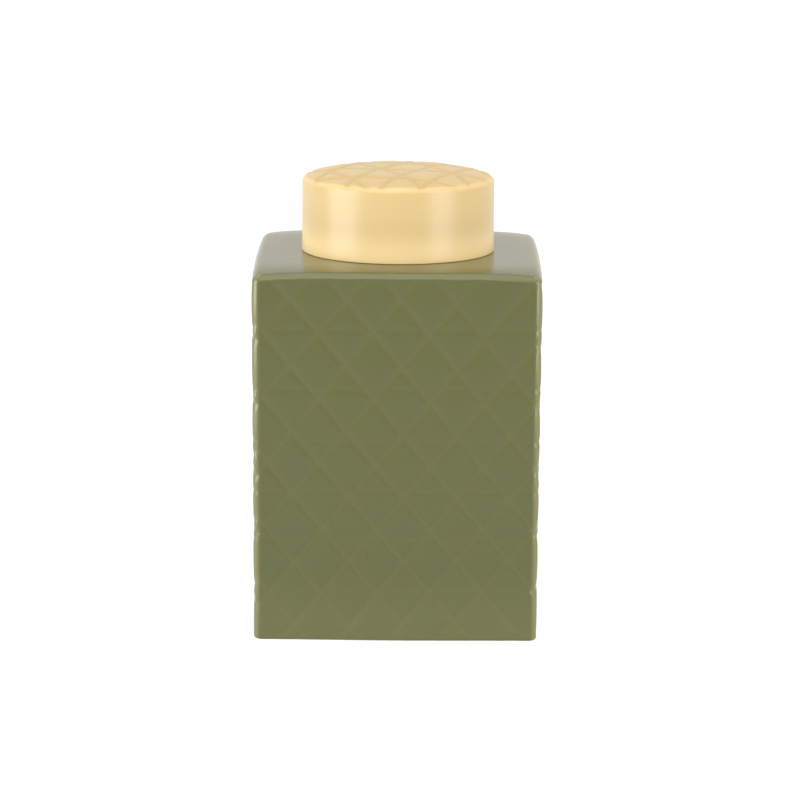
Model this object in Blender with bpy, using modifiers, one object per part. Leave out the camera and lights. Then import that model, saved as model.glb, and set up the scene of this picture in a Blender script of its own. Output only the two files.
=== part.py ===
"""Square glazed ceramic jar with bowed sides, a quilted relief, a round neck and a slip-over cap lid.

Metres, +Z up. The jar stands on z = 0, its axis is the Z axis and its front face looks along -Y.
Run it with: blender --background --python part.py
"""

from math import atan, copysign, cos, hypot, pi, radians, sin, sqrt

import bmesh
import bpy
from mathutils import Vector

# Body, outside
BODY_WIDTH = 0.1200  # across the middles of two opposite sides, just below the shoulder
FOOT_TAPER = 0.0016  # how much narrower the jar is at its foot
BODY_HEIGHT = 0.1543  # from the foot to the flat of the shoulder
SIDE_BOW = 0.0009  # how much fuller a side is at its middle than where its corners start
CORNER_RADIUS = 0.0036  # of the four upright edges
SHOULDER_ROUND = 0.0030  # between the sides and the shoulder
FOOT_ROUND = 0.0014  # between the sides and the base
CORNER_DROP = 0.0038  # how far the shoulder would sag at four sharp corners
DROP_POWER = 3.0  # how much of the sag is kept for the corners
DROP_DEPTH = 0.0250  # how far down the sides the sag still shows

# Body, inside and underneath
WALL = 0.0050
FLOOR_THICKNESS = 0.0065
CAVITY_ROUND = 0.0080  # of the edges of the hollow
FOOT_RING = 0.0095  # width of the ring that the jar stands on
FOOT_RECESS = 0.0014  # how far the base is raised inside that ring
RECESS_ROUND = 0.0060  # of the corners of the recess, seen from below

# Relief pressed into the sides and the lid
GROOVE_WIDTH = 0.0024
GROOVE_DEPTH = 0.0004
GROOVE_RUNOUT = 0.0030  # length over which a groove's floor rises at its ends
GROOVE_REACH = 0.0020  # how far the grooves run on over the shoulder's, the foot's and the lid's edge

# Neck
NECK_RADIUS = 0.0346
NECK_HEIGHT = 0.0230
NECK_WALL = 0.0046
NECK_RIM_ROUND = 0.0016
BAND_SEAT_DEPTH = 0.0010  # of the groove round the neck that holds the seal band
BAND_SEAT_HEIGHT = 0.0090  # from the shoulder to the lower edge of that groove

# Seal band
BAND_HEIGHT = 0.0060
BAND_LIP = 0.0008  # how far its two ribs stand out from its middle
FIT_GAP = 0.0003  # between pieces that touch

# Lid
LID_PLAY = 0.0014  # between the neck and the lid's inner wall
LID_WALL = 0.0044
LID_DRAFT = 0.00015  # how much narrower it is below the round of its top edge
LID_EDGE_HEIGHT = 0.0318  # from the lower rim to where the top flattens out
LID_DOME = 0.0029  # rise of the top from its edge to its middle
LID_DOME_POWER = 4.0  # how square-shouldered the dome is
LID_EDGE_ROUND = 0.0027
LID_RIM_ROUND = 0.0012
LID_CEILING_ROUND = 0.0040  # between the inner wall and the ceiling

# Grooves of a side: where each meets the side's left and right edges, as shares of BODY_HEIGHT
LEVEL_GROOVE_SHARES = (0.845, 0.687, 0.545, 0.410, 0.280, 0.148)
RISING_GROOVE_SHARES = (
    (0.798, 1.757),
    (0.626, 1.531),
    (0.431, 1.401),
    (0.273, 1.184),
    (0.075, 1.008),
    (-0.090, 0.826),
    (-0.278, 0.663),
    (-0.425, 0.488),
    (-0.570, 0.320),
)
FALLING_GROOVE_SHARES = (
    (1.615, 0.616),
    (1.422, 0.448),
    (1.235, 0.280),
    (1.050, 0.117),
    (0.873, -0.049),
    (0.699, -0.213),
    (0.538, -0.399),
    (0.357, -0.581),
    (0.191, -0.780),
)

# Grooves of the lid: a direction in degrees, and each groove's distance from the axis to the right
# of that direction, as a share of the lid's radius
LID_GROOVE_SHARES = (
    (64.5, (-0.567, -0.126, 0.257, 0.614)),
    (117.0, (-0.698, -0.205, 0.359, 0.840)),
    (-12.0, (0.629, 0.149, -0.332, -0.812)),
)

# Shares and counts
SHOULDER_SHARES = (0.91, 0.78, 0.0)  # rings of the shoulder, of the way out from the axis
SIDE_COLUMNS = 6
CORNER_COLUMNS = 2
SHOULDER_ROWS = 3
FOOT_ROWS = 2
TURN_STEPS = 48
DOME_RING_SHARES = (1.0, 0.90, 0.74)  # rings of the lid's top, of the way out to its edge
LID_EDGE_ROWS = 4
LID_GROOVE_SEGMENTS = 9

MERGE = 0.00002
MIRROR_MERGE = 0.000002
OVERRUN = 0.0020  # how far a cutter runs past what it cuts

# Glaze and rubber, in linear light
GREEN_GLAZE = (0.162, 0.180, 0.072)
YELLOW_GLAZE = (0.800, 0.560, 0.235)
SILICONE = (0.720, 0.720, 0.690)

BODY_HALF = BODY_WIDTH / 2
FOOT_WIDTH = BODY_WIDTH - FOOT_TAPER
FOOT_HALF = FOOT_WIDTH / 2
WALL_TOP = BODY_HEIGHT - SHOULDER_ROUND
LID_BOTTOM = BODY_HEIGHT + FIT_GAP
LID_INNER_RADIUS = NECK_RADIUS + LID_PLAY
LID_RADIUS = LID_INNER_RADIUS + LID_WALL
LID_LEVEL = LID_BOTTOM + LID_EDGE_HEIGHT
LID_EDGE_CENTRE = LID_RADIUS - LID_DRAFT - LID_EDGE_ROUND
LID_EDGE_SLOPE = atan(LID_DOME_POWER * LID_DOME / LID_EDGE_CENTRE)
DOME_RADIUS = LID_EDGE_CENTRE + LID_EDGE_ROUND * sin(LID_EDGE_SLOPE)
DOME_SPREAD = DOME_RADIUS + LID_EDGE_ROUND * (pi / 2 - LID_EDGE_SLOPE)


def clear_scene():
    """Removes every object that the scene starts with."""
    for obj in list(bpy.data.objects):
        bpy.data.objects.remove(obj)


def new_collection(name):
    """Adds a collection under the scene's own."""
    collection = bpy.data.collections.new(name)
    bpy.context.scene.collection.children.link(collection)
    return collection


def add_object(name, mesh, collection):
    """Puts a mesh in the scene as a named object."""
    obj = bpy.data.objects.new(name, mesh)
    collection.objects.link(obj)
    return obj


def as_cutter(obj):
    """Marks an object as a helper that shapes others and isn't part of the jar."""
    obj.hide_render = True
    obj.display_type = "WIRE"
    return obj


def glaze(name, colour, roughness, subsurface=0.0):
    """Makes a Principled material."""
    material = bpy.data.materials.new(name)
    material.use_nodes = True
    shader = material.node_tree.nodes["Principled BSDF"]
    shader.inputs["Base Color"].default_value = (*colour, 1.0)
    shader.inputs["Roughness"].default_value = roughness
    shader.inputs["Metallic"].default_value = 0.0
    shader.inputs["Subsurface Weight"].default_value = subsurface
    return material


def arc(centre, radius, start, end, steps):
    """Points of an arc in the XZ plane, with angles in degrees from +X towards +Z."""
    points = []
    for step in range(steps + 1):
        angle = radians(start + (end - start) * step / steps)
        points.append((centre[0] + radius * cos(angle), centre[1] + radius * sin(angle)))
    return points


def turned(name, profile, closed, collection):
    """Turns a profile of (radius, height) points round the Z axis, with a Screw modifier."""
    mesh = bpy.data.meshes.new(name)
    count = len(profile)
    edges = [(i, (i + 1) % count) for i in range(count if closed else count - 1)]
    mesh.from_pydata([(radius, 0.0, height) for radius, height in profile], edges, [])
    obj = add_object(name, mesh, collection)
    screw = obj.modifiers.new("Turn", "SCREW")
    screw.axis = "Z"
    screw.angle = 2 * pi
    screw.steps = TURN_STEPS
    screw.render_steps = TURN_STEPS
    screw.use_merge_vertices = True
    screw.merge_threshold = MERGE
    screw.use_smooth_shade = True
    return obj


def groove_cutter(name, start, end, segments, collection):
    """A cutter for one V-shaped groove, between two points of a sheet that lies at z = 0.

    It is a three-sided prism with its sharp edge down, which rises to the surface at both ends.
    """
    along = (end - start).normalized()
    across = Vector((along.y, -along.x, 0.0))
    tool = bmesh.new()
    bmesh.ops.create_cone(tool, cap_ends=True, segments=3, radius1=1.0, radius2=1.0, depth=1.0)
    for step in range(1, segments):
        level = Vector((0.0, 0.0, step / segments - 0.5))
        geometry = [*tool.verts, *tool.edges, *tool.faces]
        bmesh.ops.bisect_plane(tool, geom=geometry, plane_co=level, plane_no=Vector((0.0, 0.0, 1.0)))
    for vert in tool.verts:
        on_floor = vert.co.y > 0.0
        share = vert.co.z + 0.5
        place = start.lerp(end, share)
        if on_floor and share < MERGE:
            place += along * GROOVE_RUNOUT
        elif on_floor and share > 1.0 - MERGE:
            place -= along * GROOVE_RUNOUT
        side = 0.0 if on_floor else GROOVE_WIDTH * (1 if vert.co.x > 0 else -1)
        rise = -GROOVE_DEPTH if on_floor else GROOVE_DEPTH
        vert.co = place + across * side + Vector((0.0, 0.0, rise))
    mesh = bpy.data.meshes.new(name)
    tool.to_mesh(mesh)
    tool.free()
    return as_cutter(add_object(name, mesh, collection))


def pressed(name, slab, grooves, segments, helpers):
    """Presses grooves into the top of a flat slab and returns that top alone, as a mesh to edit."""
    tools = bpy.data.collections.new(name + "_grooves")
    helpers.children.link(tools)
    for number, (start, end) in enumerate(grooves):
        groove_cutter(f"{name}_groove_{number}", start, end, segments, tools)
    mesh = bpy.data.meshes.new(name)
    slab.to_mesh(mesh)
    slab.free()
    blank = add_object(name, mesh, helpers)
    boolean = blank.modifiers.new("Grooves", "BOOLEAN")
    boolean.operation = "DIFFERENCE"
    boolean.solver = "EXACT"
    boolean.operand_type = "COLLECTION"
    boolean.collection = tools
    sheet = bmesh.new()
    sheet.from_object(blank, bpy.context.evaluated_depsgraph_get())
    bpy.data.objects.remove(blank)
    under = [vert for vert in sheet.verts if vert.co.z < -2 * GROOVE_DEPTH]
    bmesh.ops.delete(sheet, geom=under, context="VERTS")
    return sheet


def side_corner(half, radius):
    """Where a side's corner arc is centred, how far out it starts and the side's slope there."""
    slope = atan(2 * SIDE_BOW / (half - SIDE_BOW - radius))
    centre = half - SIDE_BOW - radius * cos(slope)
    return centre, centre + radius * sin(slope), slope


def side_point(share, half, radius):
    """A point of one bowed side with half of each of its corners, and the side's turn there.

    share runs from -2 to 2: up to 1 along the side from its middle, and from 1 to 2 round the
    corner to its 45 degree line. half is the distance from the axis to the side's middle. The
    turn is the angle from -Y to the way that the side faces.
    """
    centre, side_end, slope = side_corner(half, radius)
    way = abs(share)
    if way <= 1.0:
        x, y, turn = way * side_end, -(half - SIDE_BOW * way**2), slope * way
    else:
        turn = slope + (way - 1.0) * (pi / 4 - slope)
        x, y = centre + radius * sin(turn), -(centre + radius * cos(turn))
    return (x, y, turn) if share >= 0 else (-x, y, -turn)


def half_at(height):
    """Distance from the axis to the middle of a side, at a height on the wall."""
    return FOOT_HALF + (BODY_HALF - FOOT_HALF) * height / BODY_HEIGHT


def sag(x, y, height):
    """How far a point of the shoulder or the upper sides lies below the flat of the shoulder."""
    reach = max(0.0, hypot(x, y) - LID_RADIUS)
    span = hypot(BODY_HALF, BODY_HALF) - LID_RADIUS
    down = min(1.0, max(0.0, (height - BODY_HEIGHT + DROP_DEPTH) / DROP_DEPTH))
    return CORNER_DROP * (reach / span) ** DROP_POWER * down**2


def sheet_columns():
    """Places across the unrolled side, from one corner's 45 degree line to the other's."""
    _, side_end, slope = side_corner(BODY_HALF, CORNER_RADIUS)
    arc_length = CORNER_RADIUS * (pi / 4 - slope)
    side = [side_end * (2 * step / SIDE_COLUMNS - 1) for step in range(SIDE_COLUMNS + 1)]
    corner = [side_end + arc_length * step / CORNER_COLUMNS for step in range(1, CORNER_COLUMNS + 1)]
    return [-place for place in reversed(corner)] + side + corner


def sheet_rows():
    """Places up the unrolled skin: heights on the wall, and lengths over the rounds beyond it."""
    base = FOOT_ROUND - FOOT_ROUND * pi / 2
    foot = [base + (FOOT_ROUND - base) * step / FOOT_ROWS for step in range(FOOT_ROWS + 1)]
    shoulder = [
        WALL_TOP + SHOULDER_ROUND * pi / 2 * step / SHOULDER_ROWS for step in range(SHOULDER_ROWS + 1)
    ]
    flat = [shoulder[-1] + BODY_HALF * (1.0 - share) for share in SHOULDER_SHARES]
    return [base - FOOT_HALF] + foot + shoulder + flat


def rolled(place, rise, depth):
    """The place on the jar of a point of the unrolled skin."""
    _, side_end, slope = side_corner(BODY_HALF, CORNER_RADIUS)
    arc_length = CORNER_RADIUS * (pi / 4 - slope)
    way = abs(place)
    share = way / side_end if way <= side_end else 1.0 + (way - side_end) / arc_length
    out, inset, height = 1.0, 0.0, rise
    if rise < FOOT_ROUND:
        angle = (FOOT_ROUND - rise) / FOOT_ROUND
        out = min(1.0, 1.0 - (angle - pi / 2) * FOOT_ROUND / FOOT_HALF)
        angle = min(angle, pi / 2)
        inset, height = FOOT_ROUND * (1 - cos(angle)), FOOT_ROUND * (1 - sin(angle))
    elif rise > WALL_TOP:
        angle = (rise - WALL_TOP) / SHOULDER_ROUND
        out = min(1.0, 1.0 - (angle - pi / 2) * SHOULDER_ROUND / BODY_HALF)
        angle = min(angle, pi / 2)
        inset, height = SHOULDER_ROUND * (1 - cos(angle)), WALL_TOP + SHOULDER_ROUND * sin(angle)
    share = share if place >= 0 else -share
    x, y, turn = side_point(share, half_at(height) - inset, CORNER_RADIUS - inset)
    x = (x - depth * sin(turn)) * out
    y = (y + depth * cos(turn)) * out
    return Vector((x, y, height - sag(x, y, height)))


def side_grooves():
    """Both ends of each groove of a side, on the unrolled skin."""
    places = sheet_columns()
    low, high = FOOT_ROUND - GROOVE_REACH, WALL_TOP + GROOVE_REACH
    ends = [(share, share) for share in LEVEL_GROOVE_SHARES]
    ends += RISING_GROOVE_SHARES
    ends += FALLING_GROOVE_SHARES
    grooves = []
    for left, right in ends:
        rise = (right - left) * BODY_HEIGHT / BODY_WIDTH
        middle = (left + right) / 2 * BODY_HEIGHT
        reach = places[-1] + OVERRUN + GROOVE_RUNOUT
        first, last = -reach, reach
        if rise:
            crossings = sorted(((low - middle) / rise, (high - middle) / rise))
            first, last = max(first, crossings[0]), min(last, crossings[1])
        start = Vector((first, middle + rise * first, 0.0))
        end = Vector((last, middle + rise * last, 0.0))
        grooves.append((start, end))
    return grooves


def cut_lines(sheet, direction, places, picked):
    """Cuts a flat sheet's picked faces across, at places along a direction."""
    for place in places:
        faces = [face for face in sheet.faces if picked(face)]
        edges = {edge for face in faces for edge in face.edges}
        verts = {vert for face in faces for vert in face.verts}
        bmesh.ops.bisect_plane(
            sheet,
            geom=[*verts, *edges, *faces],
            dist=MERGE,
            plane_co=direction * place,
            plane_no=direction,
        )


def quarter_skin(helpers):
    """One side of the body's outer skin with its relief, from the base's middle to the shoulder's."""
    rows, columns = sheet_rows(), sheet_columns()
    width, height = columns[-1] - columns[0], rows[-1] - rows[0]
    slab = bmesh.new()
    bmesh.ops.create_cube(slab, size=1.0)
    for vert in slab.verts:
        rise = rows[0] + height * (vert.co.y + 0.5)
        vert.co = Vector((width * vert.co.x, rise, WALL * (vert.co.z - 0.5)))
    sheet = pressed("side_sheet", slab, side_grooves(), 1, helpers)

    def anywhere(face):
        return True

    def off_wall(face):
        return not FOOT_ROUND < face.calc_center_median().y < WALL_TOP

    inner = columns[CORNER_COLUMNS + 1 : -CORNER_COLUMNS - 1]
    outer = columns[1 : CORNER_COLUMNS + 1] + columns[-CORNER_COLUMNS - 1 : -1]
    cut_lines(sheet, Vector((0.0, 1.0, 0.0)), rows[1:-1], anywhere)
    cut_lines(sheet, Vector((1.0, 0.0, 0.0)), outer, anywhere)
    cut_lines(sheet, Vector((1.0, 0.0, 0.0)), inner, off_wall)
    bmesh.ops.triangulate(sheet, faces=sheet.faces)
    for vert in sheet.verts:
        if abs(vert.co.x) > columns[-1] - 2 * MERGE:
            vert.co.x = copysign(columns[-1], vert.co.x)
        vert.co = rolled(vert.co.x, vert.co.y, -vert.co.z)
    bmesh.ops.remove_doubles(sheet, verts=sheet.verts, dist=MERGE)
    mesh = bpy.data.meshes.new("jar_body")
    sheet.to_mesh(mesh)
    sheet.free()
    return mesh


def rounded_box(name, width, height, centre_z, upright_round, level_round, collection):
    """A square box with rounded edges, as a cutter."""
    box = bmesh.new()
    bmesh.ops.create_cube(box, size=1.0)
    for vert in box.verts:
        vert.co = Vector((vert.co.x * width, vert.co.y * width, vert.co.z * height + centre_z))
    upright = [e for e in box.edges if abs(e.verts[0].co.z - e.verts[1].co.z) > MERGE]
    bmesh.ops.bevel(box, geom=upright, offset=upright_round, segments=4, profile=0.5, affect="EDGES")
    if level_round > 0:
        level = [
            e
            for e in box.edges
            if abs(e.verts[0].co.z - e.verts[1].co.z) < MERGE
            and {abs(round(f.normal.z)) for f in e.link_faces} == {0, 1}
        ]
        bmesh.ops.bevel(box, geom=level, offset=level_round, segments=3, profile=0.5, affect="EDGES")
    mesh = bpy.data.meshes.new(name)
    box.to_mesh(mesh)
    box.free()
    return as_cutter(add_object(name, mesh, collection))


def neck_profile():
    """Outline of the neck as a solid plug, from the middle of its top to the middle of its root."""
    root = BODY_HEIGHT - WALL / 2
    top = BODY_HEIGHT + NECK_HEIGHT
    seat_low = BODY_HEIGHT + BAND_SEAT_HEIGHT
    seat_high = seat_low + BAND_HEIGHT + 2 * FIT_GAP
    seat_radius = NECK_RADIUS - BAND_SEAT_DEPTH
    rim = arc((NECK_RADIUS - NECK_RIM_ROUND, top - NECK_RIM_ROUND), NECK_RIM_ROUND, 90, 0, 3)
    outside = [
        (NECK_RADIUS, seat_high),
        (seat_radius, seat_high),
        (seat_radius, seat_low),
        (NECK_RADIUS, seat_low),
        (NECK_RADIUS, root),
    ]
    return [(0.0, top)] + rim + outside + [(0.0, root)]


def bore_profile():
    """Outline of what is cut out of the neck, with the round of its inner lip."""
    top = BODY_HEIGHT + NECK_HEIGHT
    low = BODY_HEIGHT - WALL - OVERRUN
    radius = NECK_RADIUS - NECK_WALL
    lip_radius = radius + NECK_RIM_ROUND
    lip = arc((lip_radius, top - NECK_RIM_ROUND), NECK_RIM_ROUND, 90, 180, 3)
    return [(0.0, top + OVERRUN), (lip_radius, top + OVERRUN)] + lip + [(radius, low), (0.0, low)]


def add_booleans(obj, steps):
    """Adds one Boolean modifier for each (operation, helper) pair."""
    for operation, helper in steps:
        boolean = obj.modifiers.new(helper.name, "BOOLEAN")
        boolean.operation = operation
        boolean.solver = "EXACT"
        boolean.object = helper


def build_body(parts, helpers):
    """The jar: a thick square vessel with a round neck and a raised base."""
    body = add_object("jar_body", quarter_skin(helpers), parts)
    corners = bpy.data.objects.new("corner_planes", None)
    corners.rotation_euler.z = pi / 4
    helpers.objects.link(corners)
    mirror = body.modifiers.new("Four sides", "MIRROR")
    mirror.use_axis = (True, True, False)
    mirror.mirror_object = corners
    mirror.merge_threshold = MIRROR_MERGE

    neck = as_cutter(turned("neck_plug", neck_profile(), False, helpers))
    bore = as_cutter(turned("bore", bore_profile(), False, helpers))
    inner_width = FOOT_WIDTH - 2 * (WALL + SIDE_BOW)
    inner_height = BODY_HEIGHT - WALL - FLOOR_THICKNESS
    inner_middle = FLOOR_THICKNESS + inner_height / 2
    hollow = rounded_box(
        "hollow", inner_width, inner_height, inner_middle, CAVITY_ROUND, CAVITY_ROUND / 2, helpers
    )
    recess_width = FOOT_WIDTH - 2 * FOOT_RING
    recess_height = FOOT_RECESS + OVERRUN
    recess_middle = FOOT_RECESS - recess_height / 2
    recess = rounded_box(
        "foot_recess", recess_width, recess_height, recess_middle, RECESS_ROUND, 0.0, helpers
    )
    add_booleans(
        body,
        [
            ("DIFFERENCE", hollow),
            ("DIFFERENCE", recess),
            ("UNION", neck),
            ("DIFFERENCE", bore),
        ],
    )
    body.data.materials.append(glaze("green glaze", GREEN_GLAZE, 0.32))
    return body


def lid_profile():
    """Outline of the cap from under its top edge, down its outside and up to the ceiling's middle."""
    rim_centre = (LID_RADIUS - LID_RIM_ROUND, LID_BOTTOM + LID_RIM_ROUND)
    rim = arc(rim_centre, LID_RIM_ROUND, 0, -90, 3)
    inner_rim_centre = (LID_INNER_RADIUS + LID_RIM_ROUND, LID_BOTTOM + LID_RIM_ROUND)
    inner_rim = arc(inner_rim_centre, LID_RIM_ROUND, -90, -180, 3)
    ceiling = LID_LEVEL - LID_WALL
    inner_flat = LID_INNER_RADIUS - LID_CEILING_ROUND
    inner = arc((inner_flat, ceiling - LID_CEILING_ROUND), LID_CEILING_ROUND, 0, 90, 3)
    edge = on_lid(Vector((DOME_SPREAD, 0.0, 0.0)))
    return [(edge.x, edge.z)] + rim + inner_rim + inner + [(0.0, ceiling)]


def lid_grooves():
    """Both ends of each groove of the lid, on its top spread flat."""
    reach = DOME_RADIUS + GROOVE_REACH
    grooves = []
    for direction, shares in LID_GROOVE_SHARES:
        along = Vector((cos(radians(direction)), sin(radians(direction)), 0.0))
        right = Vector((along.y, -along.x, 0.0))
        for share in shares:
            middle = right * share * LID_RADIUS
            half = along * sqrt(reach**2 - middle.length_squared)
            grooves.append((middle - half, middle + half))
    return grooves


def on_lid(place):
    """The place on the lid's dome and its round edge of a point of the top spread flat."""
    spread = hypot(place.x, place.y)
    if spread <= DOME_RADIUS:
        rise = LID_DOME * (1.0 - (spread / DOME_RADIUS) ** LID_DOME_POWER)
        return Vector((place.x, place.y, LID_LEVEL + rise + place.z))
    turn = LID_EDGE_SLOPE + (spread - DOME_RADIUS) / LID_EDGE_ROUND
    radius = LID_EDGE_CENTRE + (LID_EDGE_ROUND + place.z) * sin(turn)
    drop = LID_EDGE_ROUND * cos(LID_EDGE_SLOPE) - (LID_EDGE_ROUND + place.z) * cos(turn)
    return Vector((place.x / spread * radius, place.y / spread * radius, LID_LEVEL - drop))


def lid_top(helpers):
    """The lid's dome and round edge with their relief, as a mesh to edit."""
    edge_step = (DOME_SPREAD - DOME_RADIUS) / LID_EDGE_ROWS
    rings = [DOME_SPREAD - edge_step * step for step in range(1, LID_EDGE_ROWS)]
    rings += [DOME_RADIUS * share for share in DOME_RING_SHARES]
    slab = bmesh.new()
    bmesh.ops.create_cone(
        slab, cap_ends=True, segments=TURN_STEPS, radius1=DOME_SPREAD, radius2=DOME_SPREAD, depth=LID_WALL
    )
    bmesh.ops.translate(slab, verts=slab.verts, vec=(0.0, 0.0, -LID_WALL / 2))
    top = [face for face in slab.faces if face.normal.z > 0.5]
    outer = DOME_SPREAD
    for ring in rings:
        bmesh.ops.inset_region(slab, faces=top, thickness=outer - ring, use_even_offset=True)
        outer = ring
    sheet = pressed("lid_sheet", slab, lid_grooves(), LID_GROOVE_SEGMENTS, helpers)
    bmesh.ops.triangulate(sheet, faces=sheet.faces)
    for vert in sheet.verts:
        vert.co = on_lid(vert.co)
    return sheet


def build_lid(parts, helpers):
    """The cap: a round lid that slips over the neck and rests on the shoulder."""
    shell = turned("lid_shell", lid_profile(), False, helpers)
    cap = lid_top(helpers)
    cap.from_object(shell, bpy.context.evaluated_depsgraph_get())
    bpy.data.objects.remove(shell)
    bmesh.ops.remove_doubles(cap, verts=cap.verts, dist=MERGE)
    mesh = bpy.data.meshes.new("lid")
    cap.to_mesh(mesh)
    cap.free()
    lid = add_object("lid", mesh, parts)
    lid.data.shade_smooth()
    lid.data.set_sharp_from_angle(angle=radians(30))
    lid.data.materials.append(glaze("yellow glaze", YELLOW_GLAZE, 0.30))
    return lid


def band_profile():
    """Outline of the seal band: a flat band with a rib at its top and its bottom."""
    inner = NECK_RADIUS - BAND_SEAT_DEPTH + FIT_GAP
    outer = LID_INNER_RADIUS - FIT_GAP
    low = BODY_HEIGHT + BAND_SEAT_HEIGHT + FIT_GAP
    high = low + BAND_HEIGHT
    rib = BAND_HEIGHT / 6
    waist = outer - BAND_LIP
    return [
        (inner, high),
        (outer - BAND_LIP / 2, high),
        (outer, high - rib / 2),
        (outer, high - rib),
        (waist, high - 2 * rib),
        (waist, low + 2 * rib),
        (outer, low + rib),
        (outer, low + rib / 2),
        (outer - BAND_LIP / 2, low),
        (inner, low),
    ]


def build_band(parts):
    """The soft ring that takes up the play between the neck and the lid."""
    band = turned("seal_band", band_profile(), True, parts)
    band.data.materials.append(glaze("clear silicone", SILICONE, 0.45, subsurface=0.3))
    return band


def main():
    """Builds the jar."""
    clear_scene()
    parts = new_collection("ceramic_jar")
    helpers = new_collection("cutters")
    build_body(parts, helpers)
    build_band(parts)
    build_lid(parts, helpers)


main()
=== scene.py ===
"""Looks of a square glazed ceramic jar with a quilted relief and a slip-over cap lid.

The three pieces are modelled again at a finer grain than the frame's, and each stands for one of its
nodes. Metres, +Z up. The jar stands on z = 0 and its front face looks along -Y.
"""

import logging
import math
from collections.abc import Callable, Iterator, Sequence
from contextlib import contextmanager
from dataclasses import dataclass
from enum import Enum

import bmesh
import bpy
import numpy as np
from mathutils import Matrix, Vector


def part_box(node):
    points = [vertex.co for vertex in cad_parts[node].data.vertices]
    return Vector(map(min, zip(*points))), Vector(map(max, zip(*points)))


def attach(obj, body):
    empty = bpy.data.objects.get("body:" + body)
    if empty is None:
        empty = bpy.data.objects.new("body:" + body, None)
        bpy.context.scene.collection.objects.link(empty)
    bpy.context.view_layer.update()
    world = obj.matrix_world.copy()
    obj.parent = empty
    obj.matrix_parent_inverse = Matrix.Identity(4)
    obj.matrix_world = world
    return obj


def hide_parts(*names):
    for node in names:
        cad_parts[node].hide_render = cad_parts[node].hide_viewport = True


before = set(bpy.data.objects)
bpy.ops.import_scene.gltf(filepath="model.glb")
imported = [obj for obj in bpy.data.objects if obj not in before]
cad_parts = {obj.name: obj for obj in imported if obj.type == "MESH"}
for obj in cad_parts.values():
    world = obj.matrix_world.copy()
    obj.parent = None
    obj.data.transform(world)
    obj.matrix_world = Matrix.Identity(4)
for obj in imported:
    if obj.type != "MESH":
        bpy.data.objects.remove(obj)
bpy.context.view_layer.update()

LOG = logging.getLogger("ceramic_jar")

PHOTO_WIDTH = 800  # pixels
MERGE = 0.000004  # points nearer than this are one
CUT_MERGE = 0.000002  # the same along a cut
OVERRUN = 0.0020  # how far a cutter runs past what it cuts
INSIDE = 0.00002  # how far each piece stays inside its node's box
STEEP = 0.5  # height of a normal, between an upright face's and a level one's


class Element(Enum):
    """What an edit-mode selection is made of."""

    VERT = "VERT"
    EDGE = "EDGE"
    FACE = "FACE"


class Way(Enum):
    """Which way a Displace modifier moves a point."""

    Y = "Y"
    Z = "Z"
    NORMAL = "NORMAL"


class Joint(Enum):
    """How a Boolean modifier joins a helper to a piece."""

    UNION = "UNION"
    DIFFERENCE = "DIFFERENCE"


@dataclass(frozen=True)
class Corner:
    """A corner of a turned outline, with the round that takes its sharpness away."""

    radius: float
    height: float
    round: float = 0.0
    segments: int = 4

    @property
    def place(self) -> Vector:
        """The corner in the XZ plane."""
        return Vector((self.radius, 0.0, self.height))


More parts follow.
